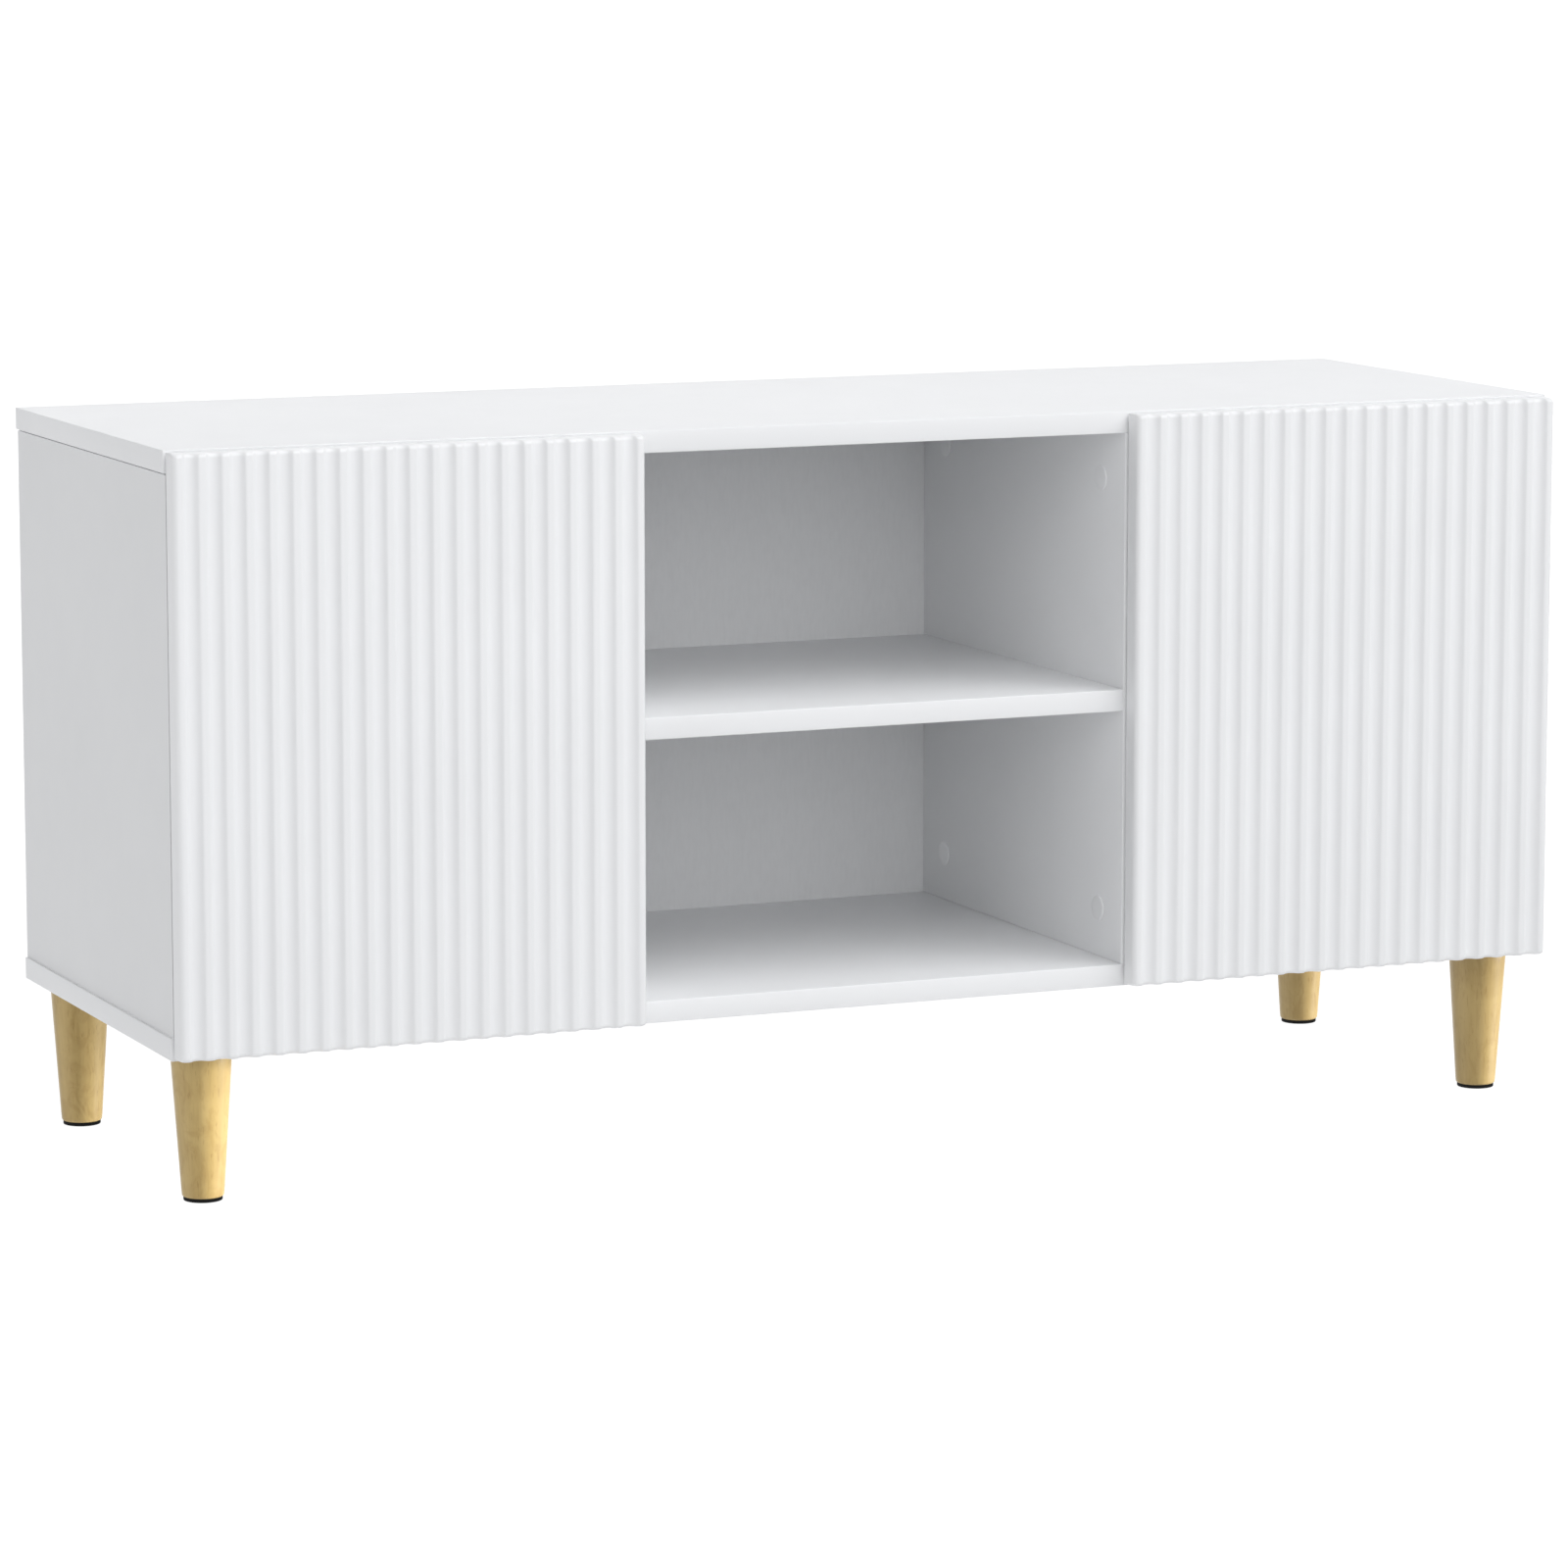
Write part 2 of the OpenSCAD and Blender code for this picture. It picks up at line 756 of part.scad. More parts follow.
top_panel();
bottom_panel();
side_panel(-1);  // side_panel_left
side_panel(1);  // side_panel_right
divider(-1);  // divider_left
divider(1);  // divider_right
centre_shelf();
bay_shelf(-1);  // bay_shelf_left
bay_shelf(1);  // bay_shelf_right
back_panel(0);  // back_panel_left
back_panel(1);  // back_panel_centre
back_panel(2);  // back_panel_right
back_panel_nails();
leg(-1, leg_ys[0]);  // leg_front_left
leg(1, leg_ys[0]);  // leg_front_right
leg(-1, leg_ys[1]);  // leg_back_left
leg(1, leg_ys[1]);  // leg_back_right
foot_pad(-1, leg_ys[0]);  // foot_pad_front_left
foot_pad(1, leg_ys[0]);  // foot_pad_front_right
foot_pad(-1, leg_ys[1]);  // foot_pad_back_left
foot_pad(1, leg_ys[1]);  // foot_pad_back_right
leg_inserts();
leg_bolts();
cam_locks();
cam_bolts();
cam_caps();
panel_dowels();
shelf_pins();
door(-1);  // door_left
door(1);  // door_right
hinge_cups(-1);  // hinge_cups_left
hinge_cups(1);  // hinge_cups_right
cup_screws(-1);  // cup_screws_left
cup_screws(1);  // cup_screws_right
strike_plate(-1);  // strike_plate_left
strike_plate(1);  // strike_plate_right
hinge_plates();
plate_screws();
hinge_arms();
adjust_screws();
hinge_pins();
outer_links(-1);  // outer_links_left
outer_links(1);  // outer_links_right
inner_links(-1);  // inner_links_left
inner_links(1);  // inner_links_right
latch_bodies();
latch_screws();
latch_plunger(-1);  // latch_plunger_left
latch_plunger(1);  // latch_plunger_right
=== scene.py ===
import json
import math

import bmesh
import bpy
import numpy as np
from mathutils import Matrix, Vector

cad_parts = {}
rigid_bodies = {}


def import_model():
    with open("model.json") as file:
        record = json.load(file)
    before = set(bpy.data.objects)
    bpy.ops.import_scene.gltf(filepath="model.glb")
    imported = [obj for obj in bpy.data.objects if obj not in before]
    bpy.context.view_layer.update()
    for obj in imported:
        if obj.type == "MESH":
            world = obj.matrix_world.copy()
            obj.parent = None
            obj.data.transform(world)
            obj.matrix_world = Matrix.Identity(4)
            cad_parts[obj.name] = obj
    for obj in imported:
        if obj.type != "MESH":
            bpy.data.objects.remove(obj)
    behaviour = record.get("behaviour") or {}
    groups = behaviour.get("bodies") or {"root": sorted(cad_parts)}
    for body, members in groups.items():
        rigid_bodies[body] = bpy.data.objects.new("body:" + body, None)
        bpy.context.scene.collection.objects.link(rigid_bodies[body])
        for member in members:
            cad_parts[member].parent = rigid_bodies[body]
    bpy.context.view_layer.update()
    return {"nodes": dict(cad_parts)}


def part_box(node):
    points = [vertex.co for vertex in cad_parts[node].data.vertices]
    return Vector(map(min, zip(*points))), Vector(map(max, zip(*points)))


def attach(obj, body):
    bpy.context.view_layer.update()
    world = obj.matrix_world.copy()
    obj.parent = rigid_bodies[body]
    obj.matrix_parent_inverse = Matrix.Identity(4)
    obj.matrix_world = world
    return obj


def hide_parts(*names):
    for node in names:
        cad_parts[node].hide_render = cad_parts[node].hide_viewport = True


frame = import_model()

MM = 0.001
ROOT = "carcass"
SIDES = {"left": -1, "right": 1}
LEG_PLACES = ("front_left", "front_right", "back_left", "back_right")

# ---------------------------------------------------------------- camera

CAMERA_PLACE = (-1.749, -4.030, 0.898)
CAMERA_YAW = 23.38
CAMERA_PITCH = 8.64
CAMERA_LENS = 145.1
CAMERA_SENSOR = 36.0
CAMERA_CLIP = (0.05, 500.0)


def add_camera():
    data = bpy.data.cameras.new("camera")
    data.lens = CAMERA_LENS
    data.sensor_width = CAMERA_SENSOR
    data.clip_start, data.clip_end = CAMERA_CLIP
    camera = bpy.data.objects.new("camera", data)
    bpy.context.scene.collection.objects.link(camera)
    camera.location = CAMERA_PLACE
    camera.rotation_euler = (math.radians(90 - CAMERA_PITCH), 0, math.radians(-CAMERA_YAW))
    bpy.context.scene.camera = camera


# ---------------------------------------------------------------- materials

WHITE_IOR = 1.47
MIX_A, MIX_B, MIX_RESULT = 6, 7, 2  # the colour sockets of a Mix node


class Nodes:
    """A material's node tree with short calls to add and link nodes."""

    def __init__(self, name):
        self.material = bpy.data.materials.new(name)
        self.material.use_nodes = True
        self.tree = self.material.node_tree
        self.tree.nodes.clear()
        self.out = self.add("ShaderNodeOutputMaterial")
        self.shader = self.add("ShaderNodeBsdfPrincipled")
        self.link(self.shader, "BSDF", self.out, "Surface")
        self.place = self.add("ShaderNodeTexCoord")

    def add(self, kind, **values):
        node = self.tree.nodes.new(kind)
        for key, value in values.items():
            if hasattr(node, key):
                setattr(node, key, value)
            else:
                node.inputs[key].default_value = value
        return node

    def link(self, source, output, target, socket):
        self.tree.links.new(source.outputs[output], target.inputs[socket])

    def set(self, **values):
        """Sets the shader's own sockets. Their names are written with _ for a space."""
        for key, value in values.items():
            self.shader.inputs[key.replace("_", " ")].default_value = value

    def scaled(self, x, y, z, turn=(0, 0, 0)):
        """The object's own coordinates, in metres, stretched."""
        node = self.add("ShaderNodeMapping", Scale=(x, y, z), Rotation=turn)
        self.link(self.place, "Object", node, "Vector")
        return node

    def noise(self, scale, detail=2.0, roughness=0.5, source=None, distortion=0.0):
        node = self.add("ShaderNodeTexNoise", Scale=scale, Detail=detail, Roughness=roughness,
                        Distortion=distortion)
        if source is None:
            self.link(self.place, "Object", node, "Vector")
        else:
            self.link(source, "Vector", node, "Vector")
        return node

    def ramp(self, source, output, stops):
        node = self.add("ShaderNodeValToRGB")
        self.link(source, output, node, "Fac")
        elements = node.color_ramp.elements
        while len(elements) < len(stops):
            elements.new(0.5)
        for element, (position, colour) in zip(elements, stops):
            element.position = position
            element.color = (*colour, 1)
        return node

    def span(self, source, output, low, high, start=0.3, end=0.7):
        """A factor from start to end turned into a value from low to high."""
        node = self.add("ShaderNodeMapRange")
        self.link(source, output, node, "Value")
        for socket, value in (("From Min", start), ("From Max", end),
                              ("To Min", low), ("To Max", high)):
            node.inputs[socket].default_value = value
        return node

    def bump(self, source, output, strength, distance, before=None):
        node = self.add("ShaderNodeBump", Strength=strength, Distance=distance)
        self.link(source, output, node, "Height")
        if before is not None:
            self.link(before, "Normal", node, "Normal")
        return node


def white_material(name, dark, light, rough, peel_mm, peel_depth_mm=0.03):
    """Foil or lacquer on board: a faint mottle, uneven gloss and a fine orange peel."""
    n = Nodes(name)
    mottle = n.noise(7.0, 4.0)
    colour = n.ramp(mottle, "Fac", ((0.3, dark), (0.7, light)))
    n.link(colour, "Color", n.shader, "Base Color")
    gloss = n.noise(45.0, 5.0, 0.6)
    roughness = n.span(gloss, "Fac", *rough)
    n.link(roughness, "Result", n.shader, "Roughness")
    peel = n.noise(1 / (peel_mm * MM), 3.0, 0.45)
    fine = n.noise(3 / (peel_mm * MM), 2.0, 0.5)
    first = n.bump(peel, "Fac", 0.35, peel_depth_mm * MM)
    second = n.bump(fine, "Fac", 0.2, peel_depth_mm * MM * 0.4, first)
    n.link(second, "Normal", n.shader, "Normal")
    n.set(IOR=WHITE_IOR)
    return n.material


def back_material():
    """Thin fibreboard with a white face: matt, with short fibres showing through."""
    n = Nodes("back_fibreboard")
    fibres = n.noise(1.0, 6.0, 0.65, n.scaled(420, 420, 90))
    colour = n.ramp(fibres, "Fac", ((0.25, (0.845, 0.85, 0.858)), (0.6, (0.882, 0.887, 0.895))))
    n.link(colour, "Color", n.shader, "Base Color")
    n.link(n.span(fibres, "Fac", 0.50, 0.66), "Result", n.shader, "Roughness")
    wave = n.noise(5.0, 1.0)
    first = n.bump(wave, "Fac", 0.3, 0.6 * MM)
    n.link(n.bump(fibres, "Fac", 0.25, 0.05 * MM, first), "Normal", n.shader, "Normal")
    return n.material


def multiplied(n, first, layers):
    """Multiplies a colour by layers, each with its own share."""
    last, output = first, "Color"
    for layer, share in layers:
        mix = n.add("ShaderNodeMix", data_type="RGBA", blend_type="MULTIPLY")
        mix.inputs[0].default_value = share
        n.tree.links.new(last.outputs[output], mix.inputs[MIX_A])
        n.tree.links.new(layer.outputs["Color"], mix.inputs[MIX_B])
        last, output = mix, MIX_RESULT
    return last.outputs[output]


def beech_material():
    """Lacquered light beech: streaks and short darker flecks along the grain, and some figure."""
    n = Nodes("beech_lacquered")
    white = (1, 1, 1)
    streaks = n.noise(1.0, 4.0, 0.55, n.scaled(70, 70, 6), 0.25)
    fine = n.noise(1.0, 3.0, 0.6, n.scaled(520, 520, 24))
    flecks = n.noise(1.0, 2.0, 0.5, n.scaled(620, 620, 95, (0.16, 0.05, 0)))
    figure = n.noise(1.0, 4.0, 0.62, n.scaled(75, 75, 42, (0.5, 0.25, 0)), 1.1)
    patches = n.noise(24.0, 3.0, 0.6, None, 0.6)
    base = n.ramp(streaks, "Fac", ((0.30, (0.486, 0.344, 0.122)), (0.50, (0.543, 0.387, 0.146)),
                                   (0.70, (0.591, 0.431, 0.171))))
    line = n.ramp(fine, "Fac", ((0.32, (0.80, 0.76, 0.68)), (0.52, white)))
    fleck = n.ramp(flecks, "Fac", ((0.30, (0.66, 0.58, 0.46)), (0.385, white)))
    swirl = n.ramp(figure, "Fac", ((0.36, (0.84, 0.79, 0.70)), (0.50, white)))
    patch = n.ramp(patches, "Fac", ((0.32, (0.86, 0.83, 0.78)), (0.60, white)))
    # painted shade: the wood darkens from left to right across the cabinet, so the right pair of
    # legs looks shaded
    across = n.add("ShaderNodeSeparateXYZ")
    n.link(n.place, "Object", across, "Vector")
    position = n.span(across, "X", 0.0, 1.0, -0.48, 0.48)
    right_legs_painted_shade = n.ramp(position, "Result", ((0.2, white), (0.8, (0.82, 0.82, 0.84))))
    colour = multiplied(n, base, ((line, 0.35), (fleck, 0.42), (swirl, 0.62), (patch, 0.8),
                                  (right_legs_painted_shade, 1.0)))
    n.tree.links.new(colour, n.shader.inputs["Base Color"])
    n.link(n.span(streaks, "Fac", 0.36, 0.48), "Result", n.shader, "Roughness")
    first = n.bump(fine, "Fac", 0.12, 0.05 * MM)
    n.link(n.bump(flecks, "Fac", 0.15, 0.04 * MM, first), "Normal", n.shader, "Normal")
    n.set(Coat_Weight=0.3, Coat_Roughness=0.25)
    return n.material


def plastic_material(name, dark, light, rough, grain_mm, gloss=0.5):
    """Moulded plastic: a faint flow mottle and a fine eroded texture."""
    n = Nodes(name)
    flow = n.noise(60.0, 3.0)
    n.link(n.ramp(flow, "Fac", ((0.3, dark), (0.7, light))), "Color", n.shader, "Base Color")
    grain = n.noise(1 / (grain_mm * MM), 4.0, 0.6)
    n.link(n.span(grain, "Fac", *rough), "Result", n.shader, "Roughness")
    n.link(n.bump(grain, "Fac", 0.35, 0.05 * MM), "Normal", n.shader, "Normal")
    n.set(Specular_IOR_Level=gloss)
    return n.material


def metal_material(name, dark, light, rough, stretch):
    """Plated steel: rolling marks along one way and a blotchy plating."""
    n = Nodes(name)
    blotch = n.noise(140.0, 4.0, 0.6)
    n.link(n.ramp(blotch, "Fac", ((0.3, dark), (0.7, light))), "Color", n.shader, "Base Color")
    marks = n.noise(1.0, 4.0, 0.6, n.scaled(*stretch))
    n.link(n.span(marks, "Fac", *rough), "Result", n.shader, "Roughness")
    n.link(n.bump(marks, "Fac", 0.12, 0.02 * MM), "Normal", n.shader, "Normal")
    n.set(Metallic=1.0)
    return n.material


MATERIALS = {
    "board": white_material("board_foil", (0.870, 0.875, 0.883), (0.886, 0.891, 0.899),
                            rough=(0.40, 0.50), peel_mm=0.9),
    # painted shade: the side panels get a darker copy of the board foil, standing in for the shade
    # on their outward faces
    "side": white_material("side_foil_painted_shade", (0.783, 0.788, 0.795), (0.797, 0.802, 0.809),
                           rough=(0.40, 0.50), peel_mm=0.9),
    "door": white_material("door_lacquer", (0.872, 0.877, 0.885), (0.888, 0.893, 0.901),
                           rough=(0.34, 0.44), peel_mm=1.3),
    "back": back_material(),
    "beech": beech_material(),
    "pad": plastic_material("pad_black", (0.005, 0.005, 0.005), (0.010, 0.010, 0.010),
                            rough=(0.7, 0.85), grain_mm=0.25, gloss=0.2),
    "cap": plastic_material("cap_white", (0.885, 0.890, 0.898), (0.900, 0.905, 0.912),
                            rough=(0.40, 0.50), grain_mm=0.4),
    "latch": plastic_material("latch_grey", (0.60, 0.605, 0.61), (0.65, 0.655, 0.66),
                              rough=(0.38, 0.5), grain_mm=0.35),
    "nickel": metal_material("nickel_plate", (0.60, 0.585, 0.56), (0.72, 0.705, 0.68),
                             rough=(0.20, 0.34), stretch=(60, 900, 900)),
    "zinc": metal_material("zinc_plate", (0.56, 0.58, 0.61), (0.70, 0.72, 0.74),
                           rough=(0.26, 0.44), stretch=(700, 700, 90)),
}

# ---------------------------------------------------------------- mesh helpers

SMOOTH_ANGLE = 35  # edges sharper than this, in degrees, stay sharp
ROUND_STEPS = 3
SAME_POINT = 1e-6
ON_AXIS = 1e-7


def add_piece(name, bm, finish, body, stands_for=(), smooth=SMOOTH_ANGLE):
    """Turns a bmesh into a piece that rides on a body and stands for CAD nodes."""
    mesh = bpy.data.meshes.new(name)
    bmesh.ops.recalc_face_normals(bm, faces=bm.faces)
    bm.to_mesh(mesh)
    bm.free()
    piece = bpy.data.objects.new(name, mesh)
    bpy.context.scene.collection.objects.link(piece)
    finish_piece(piece, finish, body, stands_for, smooth)
    return piece


def finish_piece(piece, finish, body, stands_for=(), smooth=SMOOTH_ANGLE):
    """Gives a piece its shading, material and body. A cut piece gets them a second time."""
    mesh = piece.data
    mesh.polygons.foreach_set("use_smooth", [True] * len(mesh.polygons))
    mesh.set_sharp_from_angle(angle=math.radians(smooth))
    mesh.materials.clear()
    mesh.materials.append(MATERIALS[finish])
    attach(piece, body)
    if stands_for:
        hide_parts(*stands_for)


def box_into(bm, low, high, radius=0.0):
    """Adds a box, with rounded edges if a radius is given."""
    low, high = Vector(low), Vector(high)
    verts = bmesh.ops.create_cube(bm, size=1.0)["verts"]
    for v in verts:
        v.co = Vector(low[i] + (v.co[i] + 0.5) * (high[i] - low[i]) for i in range(3))
    if radius > 0:
        edges = list({e for v in verts for e in v.link_edges})
        bmesh.ops.bevel(bm, geom=edges, offset=radius, segments=ROUND_STEPS, profile=0.5,
                        affect="EDGES")


def lathe_into(bm, profile, place, axis, steps=48):
    """Turns (radius, height) points about an axis through place."""
    axis = Vector(axis).normalized()
    turn = Vector((0, 0, 1)).rotation_difference(axis).to_matrix().to_4x4()
    turn = Matrix.Translation(place) @ turn
    rings = []
    for r, h in profile:
        if r < ON_AXIS:
            rings.append([bm.verts.new(turn @ Vector((0, 0, h)))])
            continue
        ring = []
        for k in range(steps):
            a = 2 * math.pi * k / steps
            ring.append(bm.verts.new(turn @ Vector((r * math.cos(a), r * math.sin(a), h))))
        rings.append(ring)
    for low, high in zip(rings, rings[1:]):
        for k in range(steps):
            a, b = low[k % len(low)], low[(k + 1) % len(low)]
            c, d = high[(k + 1) % len(high)], high[k % len(high)]
            corners = [v for i, v in enumerate((a, b, c, d)) if v not in (a, b, c, d)[:i]]
            if len(corners) > 2:
                bm.faces.new(corners)


def plug(radius, low, high):
    """The lathe profile of a plain plug, used for cutting round holes."""
    return [(0, low), (radius, low), (radius, high), (0, high)]


def arc(cx, cy, r, start, end, steps):
    """Points on an arc, angles in degrees."""
    points = []
    for k in range(steps + 1):
        a = math.radians(start + (end - start) * k / steps)
        points.append((cx + r * math.cos(a), cy + r * math.sin(a)))
    return points


def angles(whole, parts, steps):
    """The angles, in radians, at the given steps of a whole, in degrees, cut into parts."""
    return [math.radians(whole * k / parts) for k in steps]


def cut(piece, cutter_bm):
    """Takes the closed shapes in a bmesh away from a piece."""
    mesh = bpy.data.meshes.new("cutter")
    bmesh.ops.recalc_face_normals(cutter_bm, faces=cutter_bm.faces)
    cutter_bm.to_mesh(mesh)
    cutter_bm.free()
    cutter = bpy.data.objects.new("cutter", mesh)
    bpy.context.scene.collection.objects.link(cutter)
    modifier = piece.modifiers.new("cut", "BOOLEAN")
    modifier.operation = "DIFFERENCE"
    modifier.solver = "EXACT"
    modifier.object = cutter
    graph = bpy.context.evaluated_depsgraph_get()
    result = bpy.data.meshes.new_from_object(piece.evaluated_get(graph))
    piece.modifiers.remove(modifier)
    piece.data = result
    bpy.data.objects.remove(cutter)


def islands(node):
    """(lowest corner, highest corner) of each separate solid of a CAD node."""
    bm = bmesh.new()
    bm.from_mesh(frame["nodes"][node].data)
    bmesh.ops.remove_doubles(bm, verts=bm.verts, dist=SAME_POINT)
    seen, boxes = set(), []
    for start in bm.verts:
        if start in seen:
            continue
        stack, group = [start], []
        seen.add(start)
        while stack:
            v = stack.pop()
            group.append(v.co.copy())
            for e in v.link_edges:
                o = e.other_vert(v)
                if o not in seen:
                    seen.add(o)
                    stack.append(o)
        points = np.array(group)
        boxes.append((Vector(points.min(0)), Vector(points.max(0))))
    bm.free()
    return sorted(boxes, key=lambda b: tuple(round(c, 5) for c in b[0]))


def middle(box):
    return (box[0] + box[1]) / 2


# ---------------------------------------------------------------- boards

BOARDS = ("top_panel", "bottom_panel", "centre_shelf", "bay_shelf_left", "bay_shelf_right")
BACKS = ("back_panel_left", "back_panel_centre", "back_panel_right")
EDGE = 0.6 * MM
BACK_EDGE = 0.3 * MM
SIDE_EDGE = 0.3 * MM
GAP_HEIGHT = 1.1 * MM
GAP_DEPTH = 2.0 * MM
PIN_R = 2.55 * MM
PIN_DEPTH = 8 * MM
PIN_STEP = 32 * MM
PIN_NEAR = 0.02  # a pin this close to an upright sits in it


def board(name, finish="board", edge=EDGE):
    low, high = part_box(name)
    bm = bmesh.new()
    box_into(bm, low, high, edge)
    return add_piece(name + "_board", bm, finish, ROOT, (name,))


def side_board(side):
    """An outer side panel, with a fine rebate under the top panel that shows as a shadow line."""
    name = "side_panel_" + side
    low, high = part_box(name)
    out = SIDES[side]
    outer, inner = (high.x, low.x) if out > 0 else (low.x, high.x)
    step = high.z - GAP_HEIGHT
    section = [(inner, low.z), (outer, low.z), (outer, step), (outer - out * GAP_DEPTH, step),
               (outer - out * GAP_DEPTH, high.z), (inner, high.z)]
    bm = bmesh.new()
    ends = [[bm.verts.new((x, y, z)) for x, z in section] for y in (low.y, high.y)]
    for k in range(len(section)):
        j = (k + 1) % len(section)
        bm.faces.new((ends[0][k], ends[0][j], ends[1][j], ends[1][k]))
    bm.faces.new(ends[0])
    bm.faces.new(ends[1])
    bmesh.ops.recalc_face_normals(bm, faces=bm.faces)
    # the outward corners are rounded, apart from those inside the rebate
    corners = [e for e in bm.edges if e.calc_face_angle_signed(0) > 1.0 and
               not any(v.co.z > step - EDGE and abs(v.co.x - inner) > EDGE for v in e.verts)]
    bmesh.ops.bevel(bm, geom=corners, offset=SIDE_EDGE, segments=2, profile=0.5, affect="EDGES")
    return add_piece(name + "_board", bm, "side", ROOT, (name,))


def pin_hole_cutter(upright, pins, way):
    """Plugs for the pin holes in an upright's bay face: at its pins, and a step above and below."""
    bm = bmesh.new()
    low, high = upright
    face = high.x if way > 0 else low.x
    for pin in pins:
        centre = middle(pin)
        if not low.x - PIN_NEAR < centre.x < high.x + PIN_NEAR:
            continue
        for row in (-1, 0, 1):
            place = Vector((face - way * PIN_DEPTH, centre.y, centre.z + row * PIN_STEP))
            lathe_into(bm, plug(PIN_R, 0, PIN_DEPTH + 1 * MM), place, (way, 0, 0), steps=24)
    return bm


def make_boards():
    for name in BOARDS:
        board(name)
    for name in BACKS:
        board(name, "back", BACK_EDGE)
    pins = islands("shelf_pins")
    for side, sign in SIDES.items():
        uprights = ((side_board(side), "side_panel_" + side, -sign, "side"),
                    (board("divider_" + side), "divider_" + side, sign, "board"))
        for piece, name, way, finish in uprights:
            cut(piece, pin_hole_cutter(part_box(name), pins, way))
            finish_piece(piece, finish, ROOT)


# ---------------------------------------------------------------- doors

# The flutes: round lands and round coves that meet at a slope, in degrees.
LAND_R = 2.4 * MM
COVE_R = 6.0 * MM
SLOPE = 54.0
PITCH = 16.0 * MM
END_R = 3.0 * MM  # the round of the top and bottom edges
SIDE_W = 3.5 * MM
SIDE_D = 4.5 * MM  # the depth of the round of the side edges
END_STEPS = 6
SIDE_STEPS = 8
LAND_STEPS = 5
COVE_STEPS = 7
RUN_OUT = 1.2  # how much narrower the door gets for each unit its ends are set in
DOOR_SMOOTH_ANGLE = 40
CUP_PLAY = 0.05 * MM


def flute_outline(width):
    """(distance from the door's left edge, depth behind the front plane) across the door."""
    half = (LAND_R + COVE_R) * math.sin(math.radians(SLOPE))
    land = PITCH / 2 - half
    drop = (LAND_R + COVE_R) * (1 - math.cos(math.radians(SLOPE)))
    coves = int((width - 2 * SIDE_W) / PITCH + 0.5)
    first = (width - coves * PITCH) / 2
    points = [(first * (1 - math.cos(a)), SIDE_D * (1 - math.sin(a)))
              for a in angles(90, SIDE_STEPS, range(SIDE_STEPS + 1))]
    for i in range(coves):
        x = first + i * PITCH
        points += [(x + (land + LAND_R * math.sin(a)), LAND_R * (1 - math.cos(a)))
                   for a in angles(SLOPE, LAND_STEPS, range(LAND_STEPS + 1))]
        points += [(x + PITCH / 2 + COVE_R * math.sin(a), drop - COVE_R * (1 - math.cos(a)))
                   for a in angles(SLOPE, COVE_STEPS, range(1 - COVE_STEPS, COVE_STEPS))]
        points += [(x + PITCH - land - LAND_R * math.sin(a), LAND_R * (1 - math.cos(a)))
                   for a in angles(SLOPE, LAND_STEPS, range(LAND_STEPS, -1, -1))]
    points += [(width - first * (1 - math.cos(a)), SIDE_D * (1 - math.sin(a)))
               for a in angles(90, SIDE_STEPS, range(SIDE_STEPS, -1, -1))]
    return points


def door_ring(bm, outline, low, high, z, inset):
    """One closed loop of the door's surface at height z."""
    width = high.x - low.x
    squeeze = 1 - RUN_OUT * inset / width
    ring = [bm.verts.new((low.x, high.y, z))]
    for x, depth in outline:
        px = low.x + width / 2 + (x - width / 2) * squeeze
        ring.append(bm.verts.new((px, low.y + depth + inset, z)))
    ring.append(bm.verts.new((high.x, high.y, z)))
    return ring


def make_door(side):
    node = "door_" + side
    body = side + "_door"
    low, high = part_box(node)
    bm = bmesh.new()
    outline = flute_outline(high.x - low.x)
    levels = [(low.z + END_R * (1 - math.cos(a)), END_R * (1 - math.sin(a)))
              for a in angles(90, END_STEPS, range(END_STEPS + 1))]
    levels += [(high.z - (z - low.z), inset) for z, inset in reversed(levels)]
    rings = [door_ring(bm, outline, low, high, z, inset) for z, inset in levels]
    count = len(rings[0])
    for a, b in zip(rings, rings[1:]):
        for k in range(count):
            bm.faces.new((a[k], a[(k + 1) % count], b[(k + 1) % count], b[k]))
    bm.faces.new(rings[0])
    bm.faces.new(rings[-1])
    piece = add_piece(node + "_panel", bm, "door", body, (node,), DOOR_SMOOTH_ANGLE)
    holes = bmesh.new()
    for cup in islands("hinge_cups_" + side):
        centre = middle(cup)
        radius = (cup[1].x - cup[0].x) / 2 + CUP_PLAY
        depth = high.y - cup[0].y + CUP_PLAY
        place = Vector((centre.x, high.y - depth, centre.z))
        lathe_into(holes, plug(radius, 0, depth + MM), place, (0, 1, 0), steps=64)
    cut(piece, holes)
    finish_piece(piece, "door", body, smooth=DOOR_SMOOTH_ANGLE)


# ---------------------------------------------------------------- legs and pads

FOOT_MARGIN = 1 * MM  # how much wider a leg's foot is than its pad
FOOT_ROUND = 1.6 * MM
LEG_RINGS = 24
PAD_ROUND = 0.5 * MM
PAD_RIM = 0.2 * MM


